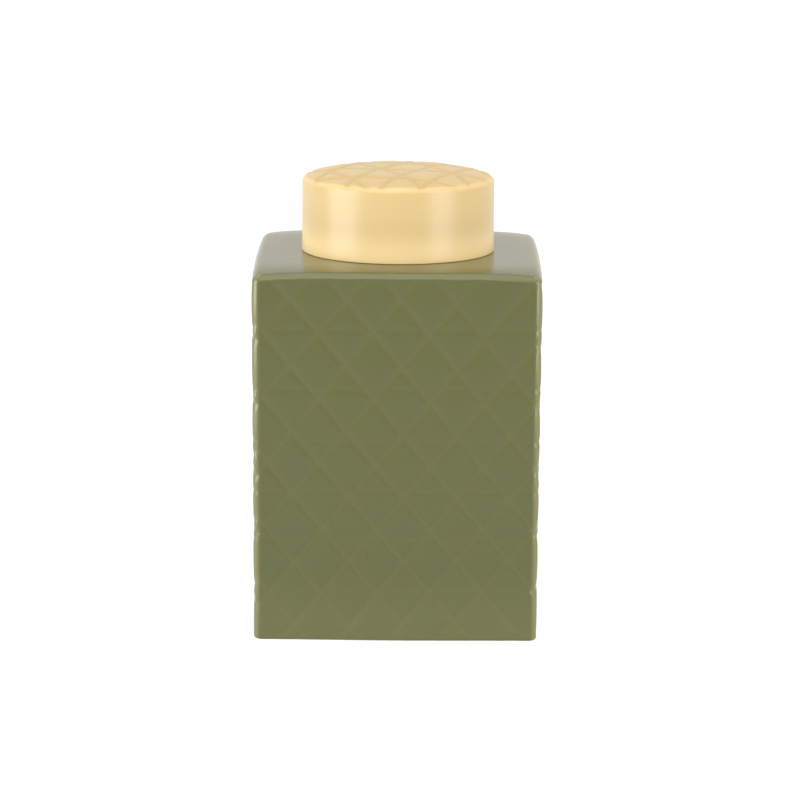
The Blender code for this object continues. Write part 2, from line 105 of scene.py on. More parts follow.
class Workpiece:
    """A mesh object on the bench, with the tools that shape it."""

    def __init__(self, obj: bpy.types.Object, name: str) -> None:
        """Takes an object in hand and names it.

        Args:
            obj: The object to shape.
            name: The object's name, which its mesh takes too.
        """
        self.obj = obj
        obj.name = name
        obj.data.name = name

    @classmethod
    def block(cls, name: str, size: Vector, centre: Vector) -> "Workpiece":
        """Starts from a cube primitive.

        Args:
            name: The piece's name.
            size: Its width, depth and height.
            centre: Its middle.

        Returns:
            The block, with its size in its mesh.
        """
        bpy.ops.object.select_all(action="DESELECT")
        bpy.ops.mesh.primitive_cube_add(size=1.0, location=centre, scale=size)
        bpy.ops.object.transform_apply(location=True, rotation=True, scale=True)
        return cls(bpy.context.object, name)

    @classmethod
    def turned(cls, name: str, corners: Sequence[Corner], steps: int) -> "Workpiece":
        """Draws an outline in the XZ plane, rounds its corners and spins it round the Z axis.

        Args:
            name: The piece's name.
            corners: The outline, all the way round.
            steps: How many steps one turn has.

        Returns:
            The turned piece, with its faces pointing out.
        """
        bpy.ops.object.select_all(action="DESELECT")
        bpy.ops.mesh.primitive_plane_add(size=OVERRUN)
        piece = cls(bpy.context.object, name)
        with piece.editing():
            bpy.ops.mesh.select_mode(type="VERT")
            bpy.ops.mesh.merge(type="CENTER")
            bpy.ops.transform.translate(value=corners[0].place)
            for last, corner in zip(corners, corners[1:]):
                step = corner.place - last.place
                bpy.ops.mesh.extrude_region_move(TRANSFORM_OT_translate={"value": step})
            bpy.ops.mesh.select_all(action="SELECT")
            bpy.ops.mesh.edge_face_add()
            for corner in corners:
                if corner.round:
                    piece.round_corner(corner)
            bpy.ops.mesh.select_all(action="SELECT")
            bpy.ops.mesh.delete(type="ONLY_FACE")
            piece.pick(Element.EDGE, lambda edge: all(v.co.x < MERGE for v in edge.verts))
            bpy.ops.mesh.delete(type="EDGE")
            bpy.ops.mesh.select_all(action="SELECT")
            bpy.ops.mesh.remove_doubles(threshold=MERGE)
            bpy.ops.mesh.spin(steps=steps, angle=2 * math.pi, center=(0, 0, 0), axis=(0, 0, 1))
            bpy.ops.mesh.select_all(action="SELECT")
            bpy.ops.mesh.remove_doubles(threshold=MERGE)
            bpy.ops.mesh.normals_make_consistent(inside=False)
        return piece

    @contextmanager
    def editing(self) -> Iterator[None]:
        """Puts the piece in edit mode for the length of a with block."""
        self.activate()
        bpy.ops.object.mode_set(mode="EDIT")
        bpy.ops.mesh.reveal()
        bpy.ops.mesh.select_all(action="SELECT")
        try:
            yield
        finally:
            bpy.ops.mesh.reveal()
            bpy.ops.object.mode_set(mode="OBJECT")

    def activate(self) -> None:
        """Makes the piece the only selected object, and the active one."""
        bpy.ops.object.select_all(action="DESELECT")
        self.obj.select_set(True)
        bpy.context.view_layer.objects.active = self.obj

    def pick(self, kind: Element, test: Callable[..., bool]) -> None:
        """Selects what a test names, among what isn't hidden.

        Args:
            kind: Vertices, edges or faces.
            test: Says of one element whether it is wanted.
        """
        bpy.ops.mesh.select_mode(type=kind.value)
        bpy.ops.mesh.select_all(action="DESELECT")
        mesh = bmesh.from_edit_mesh(self.obj.data)
        elements = {Element.VERT: mesh.verts, Element.EDGE: mesh.edges, Element.FACE: mesh.faces}[kind]
        for element in elements:
            if not element.hide and test(element):
                element.select_set(True)
        mesh.select_flush_mode()
        bmesh.update_edit_mesh(self.obj.data)

    def round_corner(self, corner: Corner) -> None:
        """Rounds one corner of a flat outline, in edit mode.

        Args:
            corner: The corner, with its round.
        """
        self.pick(Element.VERT, lambda vert: (vert.co - corner.place).length < MERGE)
        bpy.ops.mesh.bevel(
            offset=corner.round,
            segments=corner.segments,
            profile=0.5,
            affect="VERTICES",
            clamp_overlap=False,
        )

    def round_edges(self, test: Callable[..., bool], radius: float, segments: int) -> None:
        """Bevels the edges that a test names into rounds, in edit mode.

        Args:
            test: Says of one edge whether it is wanted.
            radius: The radius of the rounds.
            segments: How many faces each round has across.
        """
        self.pick(Element.EDGE, test)
        bpy.ops.mesh.bevel(
            offset=radius, segments=segments, profile=0.5, affect="EDGES", clamp_overlap=False
        )

    def show_only(self, test: Callable[..., bool]) -> None:
        """Hides every face but those that a test names, in edit mode.

        Args:
            test: Says of one face whether it is wanted.
        """
        bpy.ops.mesh.reveal()
        self.pick(Element.FACE, test)
        bpy.ops.mesh.hide(unselected=True)

    def cut(self, place: Vector, normal: Vector, clear: bool = False) -> None:
        """Cuts what isn't hidden along a plane, in edit mode.

        Args:
            place: A point of the plane.
            normal: The way that the plane faces.
            clear: Whether what lies on the side that it faces goes.
        """
        bpy.ops.mesh.select_all(action="SELECT")
        bpy.ops.mesh.bisect(
            plane_co=place, plane_no=normal, clear_outer=clear, use_fill=False, threshold=CUT_MERGE
        )

    def apply(self, kind: str, **settings: object) -> None:
        """Adds a modifier and applies it.

        Args:
            kind: The modifier's type.
            settings: Its settings.
        """
        self.activate()
        modifier = self.obj.modifiers.new(kind.lower(), kind)
        for name, value in settings.items():
            setattr(modifier, name, value)
        bpy.ops.object.modifier_apply(modifier=modifier.name)

    def combine(self, how: Joint, helper: "Workpiece") -> None:
        """Adds a helper's shape to the piece or takes it away, and removes the helper."""
        self.apply("BOOLEAN", operation=how.value, solver="EXACT", object=helper.obj)
        bpy.data.objects.remove(helper.obj)

    def weigh(self, name: str, rule: Callable[[np.ndarray], np.ndarray]) -> None:
        """Gives the piece a vertex group whose weights follow a rule of place.

        Args:
            name: The group's name.
            rule: Gives a weight from 0 to 1 for each row of an array of places.
        """
        weights = rule(places_of(self.obj))
        group = self.obj.vertex_groups.new(name=name)
        for index in np.flatnonzero(weights > 0.0):
            group.add((int(index),), float(weights[index]), "REPLACE")

    def displace(self, group: str, way: Way, distance: float) -> None:
        """Moves the points of a vertex group by a distance times their weight."""
        self.apply(
            "DISPLACE", direction=way.value, mid_level=0.0, strength=distance, vertex_group=group
        )

    def finish(self, smooth_angle: float) -> bpy.types.Object:
        """Shades the piece smooth.

        Args:
            smooth_angle: Up to which angle, in radians, an edge looks round.

        Returns:
            The piece's object.
        """
        self.activate()
        bpy.ops.object.shade_smooth_by_angle(angle=smooth_angle)
        return self.obj


def places_of(obj: bpy.types.Object) -> np.ndarray:
    """Reads where a mesh's points lie.

    Args:
        obj: The mesh object.

    Returns:
        Their places, one row each.
    """
    places = np.zeros(len(obj.data.vertices) * 3)
    obj.data.vertices.foreach_get("co", places)
    return places.reshape(-1, 3)


def bell(distance: np.ndarray, reach: float) -> np.ndarray:
    """1 at no distance, falling smoothly to 0 at the reach."""
    return 0.5 + 0.5 * np.cos(math.pi * np.clip(np.abs(distance) / reach, 0.0, 1.0))


def ramp(values: np.ndarray, low: float, high: float) -> np.ndarray:
    """0 up to low and 1 from high, with a smooth rise between them."""
    share = np.clip((values - low) / (high - low), 0.0, 1.0)
    return share * share * (3.0 - 2.0 * share)


@dataclass(frozen=True)
class Groove:
    """A straight line pressed into a surface, as the plane that it lies in."""

    place: Vector
    normal: Vector
    strength: float = 1.0  # of its depth, as a share of the relief's

    def distance(self, places: np.ndarray) -> np.ndarray:
        """How far each place lies from the groove's plane."""
        return (places - np.array(self.place)) @ np.array(self.normal)


@dataclass(frozen=True)
class Relief:
    """The section of the quilted relief: narrow grooves, and cells that swell between them."""

    half_width: float
    swell_reach: float  # from a groove to where a cell is level
    swell_share: float  # of the depth that the swelling takes
    depth: float
    cut_shares: tuple[float, ...] = (0.0, 0.34, 0.67, 1.0)  # of the half width
    swell_cut_shares: tuple[float, ...] = (0.42, 0.72)  # of the swell's reach
    blend_power: int = 4  # how sharply two grooves join where they cross

    def offsets(self) -> list[float]:
        """Says where the surface is cut beside a groove, so that it has points to bend at.

        Returns:
            The distances of the cuts from the groove, on both of its sides.
        """
        near = [share * self.half_width for share in self.cut_shares]
        near += [share * self.swell_reach for share in self.swell_cut_shares]
        return [-offset for offset in near[:0:-1]] + near

    def cut(self, piece: Workpiece, grooves: Sequence[Groove]) -> None:
        """Cuts the faces that show along every groove, in edit mode.

        Args:
            piece: The piece that takes the relief.
            grooves: Its grooves.
        """
        for groove in grooves:
            for offset in self.offsets():
                piece.cut(groove.place + groove.normal * offset, groove.normal)

    def weights(self, places: np.ndarray, grooves: Sequence[Groove]) -> np.ndarray:
        """Works out how deep each place lies.

        Args:
            places: One row for each place.
            grooves: The grooves that are pressed in.

        Returns:
            A share of the relief's depth for each place.
        """
        total = np.zeros(len(places))
        for groove in grooves:
            distance = groove.distance(places)
            narrow = bell(distance, self.half_width)
            wide = bell(distance, self.swell_reach)
            depth = narrow * (1.0 - self.swell_share) + wide * self.swell_share
            total += (groove.strength * depth) ** self.blend_power
        return np.minimum(1.0, total ** (1.0 / self.blend_power))


@dataclass
class JarBody:
    """The square vessel with its shoulder, neck and foot, which is one casting."""

    height: float = 0.1546  # of the shoulder
    bow: float = 0.0009
    filling: float = 0.00028  # what the swelling takes off a side
    bow_fade: float = 0.65  # how much of the bow is gone at the shoulder
    bow_fade_depth: float = 0.0450
    foot_taper: float = 0.0016
    corner_radius: float = 0.0036
    shoulder_round: float = 0.0030
    foot_round: float = 0.0014
    edge_drop: float = 0.0033  # how far the shoulder falls from the lid to a sharp corner
    drop_power: float = 3.0
    drop_depth: float = 0.0250
    drop_square: float = 6.0  # 2 for a round fall, and more for one that follows the square
    drop_fade: int = 2  # how fast the fall ends below the shoulder
    drop_cuts: int = 5  # over the depth that the fall reaches down
    draw_in: float = 0.0009  # how far the corners lean in at the shoulder
    draw_power: float = 6.0
    draw_depth: float = 0.0200
    draw_fade: int = 3
    wall: float = 0.0050
    floor_thickness: float = 0.0065
    cavity_round: float = 0.0080
    foot_ring: float = 0.0095
    foot_recess: float = 0.0014
    recess_round: float = 0.0060
    neck_radius: float = 0.0346
    neck_wall: float = 0.0046
    neck_rim_round: float = 0.0016
    neck_root_round: float = 0.0010
    neck_root_dip: float = 0.0002
    neck_root_reach: float = 1.5  # past the neck, in rounds of its root
    bore_lip_share: float = 0.98  # of the rim's round, so that the two rounds stay apart
    band_seat_depth: float = 0.0010
    band_seat_low: float = 0.0090
    band_seat_height: float = 0.0066
    band_seat_round: float = 0.0003
    grid: float = 0.0060  # step of the shoulder's and the sides' own cuts
    support: float = 0.0005  # from a round to the cut that keeps the flat beside it flat
    support_shares: tuple[float, ...] = (1.0, 2.5)  # of the cuts under the shoulder's round
    corner_segments: int = 8
    shoulder_segments: int = 6
    foot_segments: int = 4
    rim_segments: int = 6
    root_segments: int = 5
    seat_segments: int = 3
    turn_steps: int = 96
    smooth_angle: float = math.radians(40)
    relief: Relief = Relief(half_width=0.0023, swell_reach=0.0080, swell_share=0.34, depth=0.00062)
    level_strength: float = 0.52  # of the level grooves
    rim_thin_and_painted_light: float = 0.47  # how much lighter the shoulder's edge is: thin glaze and a painted highlight
    foot_painted_light: float = 0.26  # how much lighter the sides are painted towards the foot: painted light from the floor
    foot_painted_light_depth: float = 0.0340
    corner_strength: float = 0.60  # what is left of the grooves at a corner
    level_shares: tuple[float, ...] = (0.845, 0.687, 0.545, 0.410, 0.280, 0.148)
    rising_shares: tuple[tuple[float, float], ...] = (
        (0.798, 1.757),
        (0.626, 1.531),
        (0.431, 1.401),
        (0.273, 1.184),
        (0.075, 1.008),
        (-0.090, 0.826),
        (-0.278, 0.663),
        (-0.425, 0.488),
        (-0.570, 0.320),
    )
    falling_shares: tuple[tuple[float, float], ...] = (
        (1.615, 0.616),
        (1.422, 0.448),
        (1.235, 0.280),
        (1.050, 0.117),
        (0.873, -0.049),
        (0.699, -0.213),
        (0.538, -0.399),
        (0.357, -0.581),
        (0.191, -0.780),
    )

    def __post_init__(self) -> None:
        """Takes the main places from the frame."""
        _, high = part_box("jar_body")
        _, lid_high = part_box("lid")
        self.half = high.x - INSIDE
        self.neck_top = high.z
        self.lid_radius = lid_high.x
        self.box_half = self.half - self.bow + self.filling
        self.foot_half = self.box_half - self.foot_taper / 2
        self.wall_top = self.height - self.shoulder_round
        self.side_end = self.box_half - self.corner_radius

    def build(self) -> bpy.types.Object:
        """Models the casting.

        Returns:
            The finished object.
        """
        piece = self.vessel()
        piece.combine(Joint.DIFFERENCE, self.hollow())
        piece.combine(Joint.DIFFERENCE, self.recess())
        piece.combine(Joint.UNION, self.neck())
        piece.combine(Joint.DIFFERENCE, self.bore())
        self.keep_front(piece)
        self.cut_front(piece)
        self.swell(piece)
        self.repeat(piece)
        piece.displace("relief", Way.NORMAL, -self.relief.depth)
        keep_weights(piece.obj, "relief", "thin_glaze_and_painted_light")
        return piece.finish(self.smooth_angle)

    def vessel(self) -> Workpiece:
        """Shapes the outside.

        Returns:
            A solid block with its taper and its rounds.
        """
        width = 2 * self.box_half
        size = Vector((width, width, self.height))
        piece = Workpiece.block("jar", size, Vector((0, 0, self.height / 2)))
        taper = self.foot_half / self.box_half
        with piece.editing():
            piece.pick(Element.FACE, lambda face: face.normal.z < -STEEP)
            bpy.ops.transform.resize(value=(taper, taper, 1.0), center_override=(0, 0, 0))
            piece.round_edges(is_upright, self.corner_radius, self.corner_segments)
            piece.round_edges(
                lambda edge: is_rim(edge, self.height), self.shoulder_round, self.shoulder_segments
            )
            piece.round_edges(lambda edge: is_rim(edge, 0.0), self.foot_round, self.foot_segments)
        return piece

    def rounded_block(
        self, name: str, width: float, low: float, high: float, upright: float, level: float
    ) -> Workpiece:
        """A square cutter with rounded edges.

        Args:
            name: Its name.
            width: Its width both ways.
            low: The height of its bottom.
            high: The height of its top.
            upright: The round of its upright edges.
            level: The round of its level edges, or 0.

        Returns:
            The cutter.
        """
        size = Vector((width, width, high - low))
        piece = Workpiece.block(name, size, Vector((0, 0, (low + high) / 2)))
        with piece.editing():
            piece.round_edges(is_upright, upright, self.corner_segments)
            if level:
                piece.round_edges(
                    lambda edge: is_rim(edge, low) or is_rim(edge, high), level, self.shoulder_segments
                )
        return piece

    def hollow(self) -> Workpiece:
        """Shapes what is taken out of the inside.

        Returns:
            The cutter.
        """
        width = 2 * (self.foot_half - self.wall)
        high = self.height - self.wall
        return self.rounded_block(
            "hollow", width, self.floor_thickness, high, self.cavity_round, self.cavity_round / 2
        )

    def recess(self) -> Workpiece:
        """What is taken out of the base, inside the ring that the jar stands on."""
        width = 2 * (self.foot_half + self.bow - self.foot_ring)
        return self.rounded_block("recess", width, -OVERRUN, self.foot_recess, self.recess_round, 0.0)

    def neck(self) -> Workpiece:
        """Turns the neck, with the seat of the seal band and a soft root.

        Returns:
            The neck as a solid plug.
        """
        radius, top = self.neck_radius, self.neck_top
        seat = radius - self.band_seat_depth
        low = self.height + self.band_seat_low
        high = low + self.band_seat_height
        root = self.height - self.neck_root_dip
        spread = radius + self.neck_root_reach * self.neck_root_round
        seat_corners = [
            Corner(out, height, self.band_seat_round, self.seat_segments)
            for out, height in ((radius, high), (seat, high), (seat, low), (radius, low))
        ]
        corners = [
            Corner(0.0, top),
            Corner(radius, top, self.neck_rim_round, self.rim_segments),
            *seat_corners,
            Corner(radius, root, self.neck_root_round, self.root_segments),
            Corner(spread, root),
            Corner(spread, root - self.wall / 2),
            Corner(0.0, root - self.wall / 2),
        ]
        return Workpiece.turned("neck", corners, self.turn_steps)

    def bore(self) -> Workpiece:
        """Turns what is taken out of the neck, down into the hollow.

        Returns:
            The cutter.
        """
        radius = self.neck_radius - self.neck_wall
        lip = radius + self.neck_rim_round
        rim = self.bore_lip_share * self.neck_rim_round
        bottom = self.height - self.wall
        corners = [
            Corner(0.0, self.neck_top + OVERRUN),
            Corner(lip, self.neck_top + OVERRUN),
            Corner(lip, self.neck_top),
            Corner(radius, self.neck_top, rim, self.rim_segments),
            Corner(radius, bottom - OVERRUN),
            Corner(0.0, bottom - OVERRUN),
        ]
        return Workpiece.turned("bore", corners, self.turn_steps)

    def keep_front(self, piece: Workpiece) -> None:
        """Keeps the quarter of the casting in front of the two upright planes at 45 degrees.

        Args:
            piece: The whole casting.
        """
        with piece.editing():
            for side in (-1.0, 1.0):
                piece.cut(Vector((0, 0, 0)), Vector((side, 1.0, 0.0)).normalized(), clear=True)

    def is_skin(self, face: bmesh.types.BMFace) -> bool:
        """Says whether a face belongs to the outside, apart from the neck and the base.

        Args:
            face: A face of the casting.

        Returns:
            True on the sides, the shoulder and the rounds that join them.
        """
        place = face.calc_center_median()
        out = max(abs(place.x), abs(place.y))
        return out > self.side_end or abs(place.z - self.height) < MERGE

    def is_relief(self, face: bmesh.types.BMFace) -> bool:
        """Says whether the grooves may cross a face.

        Args:
            face: A face of the casting.

        Returns:
            True on the sides and on the rounds beyond them.
        """
        place = face.calc_center_median()
        out = max(abs(place.x), abs(place.y))
        return out > self.side_end and self.foot_round / 4 < place.z < self.height - MERGE

    def grooves(self) -> list[Groove]:
        """Lays out the grooves of the front, from the heights at which each meets its two edges.

        Returns:
            The level, the rising and the falling ones.
        """
        ends = [(share, share) for share in self.level_shares]
        ends += [*self.rising_shares, *self.falling_shares]
        grooves = []
        for left, right in ends:
            rise = (right - left) * self.height
            middle = (right + left) / 2 * self.height
            normal = Vector((-rise, 0.0, 2 * self.half)).normalized()
            strength = 1.0 if rise else self.level_strength
            grooves.append(Groove(Vector((0, 0, middle)), normal, strength))
        return grooves

    def cut_front(self, piece: Workpiece) -> None:
        """Cuts the outside of the front quarter, so that it can bend and take its relief.

        Args:
            piece: The front quarter.
        """
        side_end = self.side_end - self.support
        flat_end = self.box_half - self.shoulder_round - self.support
        steps = int(side_end / self.grid)
        across = [self.grid * step for step in range(-steps, steps + 1)] + [-side_end, side_end]
        back = [-self.grid * step for step in range(1, steps + 1)] + [-flat_end]
        up = [self.wall_top - self.support * share for share in self.support_shares]
        up.append(self.foot_round + self.support)
        cuts = self.drop_cuts
        up += [self.height - self.drop_depth * step / cuts for step in range(1, cuts + 1)]
        x_axis, y_axis, z_axis = Vector((1, 0, 0)), Vector((0, 1, 0)), Vector((0, 0, 1))
        with piece.editing():
            piece.show_only(self.is_skin)
            for place in across:
                piece.cut(x_axis * place, x_axis)
            for place in up:
                piece.cut(z_axis * place, z_axis)
            piece.show_only(lambda face: abs(face.calc_center_median().z - self.height) < MERGE)
            for place in back:
                piece.cut(y_axis * place, y_axis)
            piece.show_only(self.is_relief)
            self.relief.cut(piece, self.grooves())
        piece.apply("TRIANGULATE", quad_method="BEAUTY", ngon_method="BEAUTY")

    def swell(self, piece: Workpiece) -> None:
        """Bows the front, shapes the shoulder's corners and weighs the relief.

        Args:
            piece: The front quarter, with its cuts.
        """
        rules = {
            "thin_glaze_and_painted_light": self.thin_glaze_and_painted_light,
            "relief": self.pressed,
            "bow": self.bowed,
            "sag": self.sagging,
            "draw": self.drawn,
        }
        for name, rule in rules.items():
            piece.weigh(name, rule)
        piece.displace("bow", Way.Y, -self.bow)
        piece.displace("sag", Way.Z, -self.edge_drop)
        cast_factor = self.draw_in / (self.half * math.sqrt(2) - self.lid_radius)
        piece.apply(
            "CAST",
            cast_type="CYLINDER",
            use_z=False,
            use_radius_as_size=False,
            size=self.lid_radius,
            factor=cast_factor,
            vertex_group="draw",
        )

    def under_shoulder(self, places: np.ndarray, depth: float) -> np.ndarray:
        """1 at the shoulder's height, falling to 0 at a depth below it."""
        return np.clip((places[:, 2] - self.height + depth) / depth, 0.0, 1.0)

    def reach(self, places: np.ndarray, square: float) -> np.ndarray:
        """Works out how far out from the lid each place lies.

        Args:
            places: One row for each place.
            square: 2 for a distance from the axis, and more for one that follows the square.

        Returns:
            0 up to the lid, and 1 where a corner would be if it were sharp.
        """
        far = (np.abs(places[:, :2]) ** square).sum(axis=1) ** (1.0 / square)
        end = self.half * 2.0 ** (1.0 / square)
        return np.clip((far - self.lid_radius) / (end - self.lid_radius), 0.0, 1.0)

    def outer(self, places: np.ndarray) -> np.ndarray:
        """1 on the outside and over the whole shoulder, and 0 on the inside of the wall."""
        skin = ramp(np.abs(places[:, 1]), self.half - self.wall - self.bow, self.side_end)
        return np.where(places[:, 2] > self.height - self.wall / 2, 1.0, skin)

    def bowed(self, places: np.ndarray) -> np.ndarray:
        """Works out how far each place of the front moves out.

        Args:
            places: One row for each place.

        Returns:
            A share of the bow for each place.
        """
        across = np.abs(places[:, 0]) / np.maximum(np.abs(places[:, 1]), MERGE)
        out = ramp(-places[:, 1], self.lid_radius, self.side_end)
        fade = 1.0 - self.bow_fade * self.under_shoulder(places, self.bow_fade_depth)
        return bell(across, self.side_end / self.box_half) * out * fade

    def sagging(self, places: np.ndarray) -> np.ndarray:
        """How far each place falls towards the shoulder's edge, as a share of the drop."""
        down = self.under_shoulder(places, self.drop_depth) ** self.drop_fade
        return self.reach(places, self.drop_square) ** self.drop_power * down * self.outer(places)

    def drawn(self, places: np.ndarray) -> np.ndarray:
        """How far each place leans in at a corner, as a share of the draw."""
        down = self.under_shoulder(places, self.draw_depth) ** self.draw_fade
        return self.reach(places, 2.0) ** self.draw_power * down * self.outer(places)

    def pressed(self, places: np.ndarray) -> np.ndarray:
        """Works out how deep each place of the front lies.

        Args:
            places: One row for each place of the unbent front.

        Returns:
            A share of the relief's depth for each place.
        """
        skin = ramp(-places[:, 1], self.half - self.wall, self.side_end)
        end = self.wall_top + 2 * self.support
        high = 1.0 - ramp(places[:, 2], self.wall_top - self.support, end)
        low = ramp(places[:, 2], self.foot_round / 3, self.foot_round * 2)
        edge = ramp(np.abs(places[:, 0]), self.side_end - self.corner_radius / 2, self.box_half)
        kept = 1.0 - (1.0 - self.corner_strength) * edge
        return self.relief.weights(places, self.grooves()) * skin * high * low * kept

    def thin_glaze_and_painted_light(self, places: np.ndarray) -> np.ndarray:
        """Works out how much lighter the glaze is: over the rounds, partly thin glaze and partly a painted
        highlight, and at the foot, painted light.

        Args:
            places: One row for each place of the unbent front.

        Returns:
            0 to 1 for each place.
        """
        side, front = (self.box_half - np.abs(places[:, axis]) for axis in (0, 1))
        drop = self.height - places[:, 2]
        on_rim = self.rim_thin_and_painted_light * bell(drop - front, self.shoulder_round)
        on_rim = on_rim * (np.maximum(drop, front) < self.shoulder_round)
        # The upright corners are lighter: partly thin glaze, partly a painted highlight.
        on_corner = bell(side - front, self.corner_radius) * (np.maximum(side, front) < self.corner_radius)
        # Painted light: the sides are lighter towards the foot.
        on_foot = self.foot_painted_light * bell(places[:, 2], self.foot_painted_light_depth) * (front < self.wall / 2)
        return np.maximum(np.maximum(on_rim, on_corner), on_foot)

    def repeat(self, piece: Workpiece) -> None:
        """Mirrors the front quarter across both 45 degree planes.

        Args:
            piece: The front quarter, which becomes the whole casting.
        """
        planes = bpy.data.objects.new("corner_planes", None)
        planes.rotation_euler.z = math.pi / 4
        bpy.context.scene.collection.objects.link(planes)
        bpy.context.view_layer.update()
        piece.apply(
            "MIRROR", use_axis=(True, True, False), mirror_object=planes, merge_threshold=MERGE
        )
        bpy.data.objects.remove(planes)
        with piece.editing():
            bpy.ops.mesh.remove_doubles(threshold=MERGE)
            bpy.ops.mesh.normals_make_consistent(inside=False)


@dataclass
class CapLid:
    """The round cap that slips over the neck, which is one casting."""

    wall: float = 0.0044
    draft: float = 0.00015
    edge_height: float = 0.0316
    dome_power: float = 4.0
    edge_round: float = 0.0028
    rim_round: float = 0.0004
    ceiling_round: float = 0.0040
    edge_segments: int = 8
    rim_segments: int = 6
    turn_steps: int = 128
    smooth_angle: float = math.radians(40)
    top_rings: int = 20
    top_slope: float = 0.1  # least height of a normal on the top
    patch_share: float = 0.78  # of the dome's radius that the woven patch fills
    groove_reach: float = 0.0022  # how far the grooves run on over the edge
    rim_painted_light_reach: float = 0.0150  # how far up from the lower rim the glaze is painted lighter, as painted light against the shade that the shoulder gives
    rim_painted_light_rings: int = 8
    edge_thin_and_painted_light: float = 0.30  # how much lighter the top edge is: thin glaze and a painted highlight
    edge_thin_and_painted_light_reach: float = 1.6  # down from the top, in rounds of the edge
    relief: Relief = Relief(half_width=0.0023, swell_reach=0.0062, swell_share=0.28, depth=0.00062)
    groove_shares: tuple[tuple[float, tuple[float, ...]], ...] = (
        (64.5, (-0.567, -0.126, 0.257, 0.614)),
        (117.0, (-0.698, -0.205, 0.359, 0.840)),
        (-12.0, (0.629, 0.149, -0.332, -0.812)),
    )  # direction in degrees, and distances to its right as shares of the radius

    def __post_init__(self) -> None:
        """Takes the main places from the frame."""
        low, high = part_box("lid")
        self.bottom = low.z
        self.radius = high.x - INSIDE
        self.level = self.bottom + self.edge_height
        self.dome = high.z - self.level - INSIDE
        self.edge_centre = self.radius - self.draft - self.edge_round
        self.slope = math.atan(self.dome_power * self.dome / self.edge_centre)
        self.dome_radius = self.edge_centre + self.edge_round * math.sin(self.slope)
        self.patch_radius = self.patch_share * self.dome_radius

    def build(self) -> bpy.types.Object:
        """Models the cap.

        Returns:
            The finished object.
        """
        piece = Workpiece.turned("cap", self.outline(), self.turn_steps)
        self.weave_top(piece)
        piece.weigh("relief", self.pressed)
        piece.weigh("dome", self.domed)
        piece.weigh("thin_glaze_and_painted_light", self.thin_glaze_and_painted_light)
        piece.displace("dome", Way.Z, self.dome)
        piece.displace("relief", Way.NORMAL, -self.relief.depth)
        keep_weights(piece.obj, "relief", "thin_glaze_and_painted_light")
        return piece.finish(self.smooth_angle)

    def outline(self) -> list[Corner]:
        """Draws the cap's section.

        Returns:
            Its corners, from the middle of its top to the middle of its ceiling.
        """
        inner = self.radius - self.wall
        ceiling = self.level - self.wall
        run = self.edge_round * (1.0 - math.sin(self.slope))
        shoulder = self.level - run * math.tan(self.slope)
        rings = [
            Corner(self.dome_radius * step / self.top_rings, self.level)
            for step in range(self.top_rings + 1)
        ]
        # Rings up the side, so that the painted light along the lower rim can fade out.
        side = [
            Corner(self.radius - self.draft * share, self.bottom + self.edge_height * share)
            for share in np.linspace(self.rim_painted_light_reach / self.edge_height, 0.0, self.rim_painted_light_rings)[:-1]
        ]
        return rings + [
            Corner(self.radius - self.draft, shoulder, run / math.cos(self.slope), self.edge_segments),
            *side,
            Corner(self.radius, self.bottom, self.rim_round, self.rim_segments),
            Corner(inner, self.bottom, self.rim_round, self.rim_segments),
            Corner(inner, ceiling, self.ceiling_round, self.rim_segments),
            Corner(0.0, ceiling),
        ]

    def weave_top(self, piece: Workpiece) -> None:
        """Puts a square weave in place of the spokes of the top, and cuts it along the grooves.

        Args:
            piece: The turned cap.
        """
        with piece.editing():
            piece.pick(Element.FACE, self.in_patch)
            bpy.ops.mesh.delete(type="FACE")
            piece.pick(Element.EDGE, lambda edge: edge.is_boundary)
            bpy.ops.mesh.fill_grid(span=self.turn_steps // 4)
            bpy.ops.mesh.select_all(action="SELECT")
            bpy.ops.mesh.normals_make_consistent(inside=False)
            piece.show_only(self.on_top)
            self.relief.cut(piece, self.grooves())
        piece.apply("TRIANGULATE", quad_method="BEAUTY", ngon_method="BEAUTY")

    def in_patch(self, face: bmesh.types.BMFace) -> bool:
        """Whether a face is one that the weave takes the place of."""
        place = face.calc_center_median()
        return place.z > self.level - MERGE and math.hypot(place.x, place.y) < self.patch_radius

    def on_top(self, face: bmesh.types.BMFace) -> bool:
        """Whether a face lies on the top or on its edge."""
        height = face.calc_center_median().z
        return height > self.level - self.edge_round and face.normal.z > self.top_slope

    def grooves(self) -> list[Groove]:
        """Lays out the grooves of the top, which cross it in three directions.

        Returns:
            The grooves, one direction after another.
        """
        grooves = []
        for direction, shares in self.groove_shares:
            along = Vector((math.cos(math.radians(direction)), math.sin(math.radians(direction)), 0.0))
            right = Vector((along.y, -along.x, 0.0))
            grooves += [Groove(right * share * self.radius, right) for share in shares]
        return grooves

    def domed(self, places: np.ndarray) -> np.ndarray:
        """Works out how far each place of the top rises.

        Args:
            places: One row for each place of the level top.

        Returns:
            A share of the dome's height for each place.
        """
        share = np.hypot(places[:, 0], places[:, 1]) / self.dome_radius
        top = places[:, 2] > self.level - MERGE
        return np.where(top, np.clip(1.0 - share**self.dome_power, 0.0, 1.0), 0.0)

    def pressed(self, places: np.ndarray) -> np.ndarray:
        """How deep each place of the top lies, as a share of the relief's depth."""
        fade = 1.0 - ramp(self.level - places[:, 2], 0.0, self.groove_reach)
        return self.relief.weights(places, self.grooves()) * fade

    def thin_glaze_and_painted_light(self, places: np.ndarray) -> np.ndarray:
        """Works out how much lighter the glaze is: along the lower rim, as painted light, and over the top
        edge, as thin glaze with a painted highlight.

        Args:
            places: One row for each place of the level cap.

        Returns:
            0 to 1 for each place.
        """
        out = np.hypot(places[:, 0], places[:, 1])
